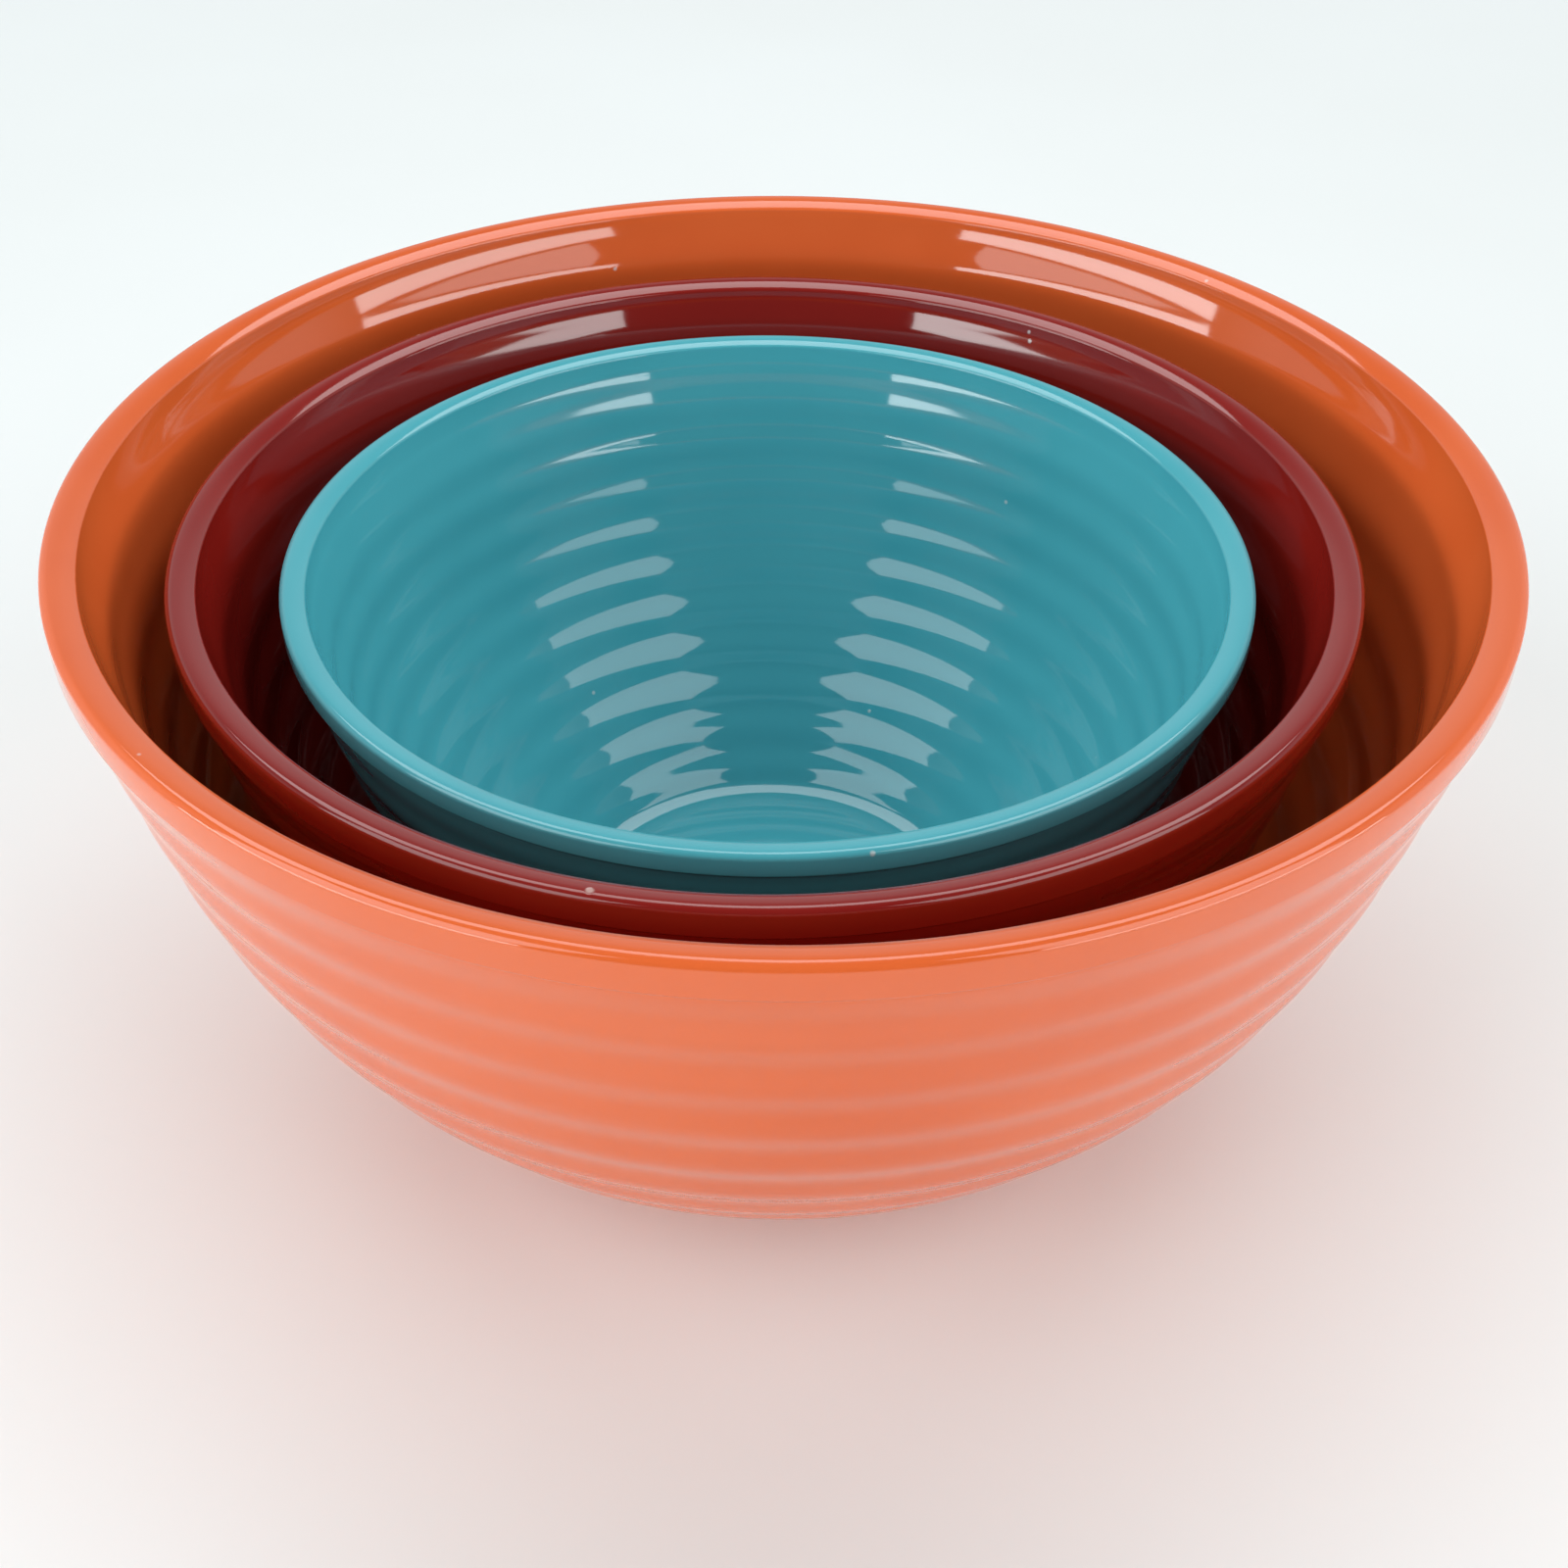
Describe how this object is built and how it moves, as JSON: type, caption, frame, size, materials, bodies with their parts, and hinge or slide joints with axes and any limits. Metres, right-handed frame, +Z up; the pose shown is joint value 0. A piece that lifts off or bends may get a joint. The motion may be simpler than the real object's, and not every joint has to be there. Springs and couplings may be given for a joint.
{
  "type": "nested mixing bowl set",
  "caption": "Ribbed round mixing bowls with flat crowned rims and foot rings, nested one in another; each lifts straight out of the next.",
  "frame": {"origin": "on the table, under the centre of the large bowl's foot ring", "axes": "+Z up out of the bowls; the view is from -Y towards +Y, with +X to the right"},
  "size_m": [0.2896, 0.2896, 0.1342],
  "materials": {
    "orange_melamine": "glossy moulded melamine, orange",
    "red_melamine": "glossy moulded melamine, dark red",
    "turquoise_melamine": "glossy moulded melamine, turquoise"
  },
  "bodies": {
    "large": {"large_bowl": "orange_melamine"},
    "medium": {"medium_bowl": "red_melamine"},
    "small": {"small_bowl": "turquoise_melamine"}
  },
  "joints": [
    {"name": "medium_lift", "type": "slide", "parent": "large", "child": "medium", "axis": [0, 0, 1], "range_m": [0, 0.135]},
    {"name": "small_lift", "type": "slide", "parent": "medium", "child": "small", "axis": [0, 0, 1], "range_m": [0, 0.118]}
  ]
}
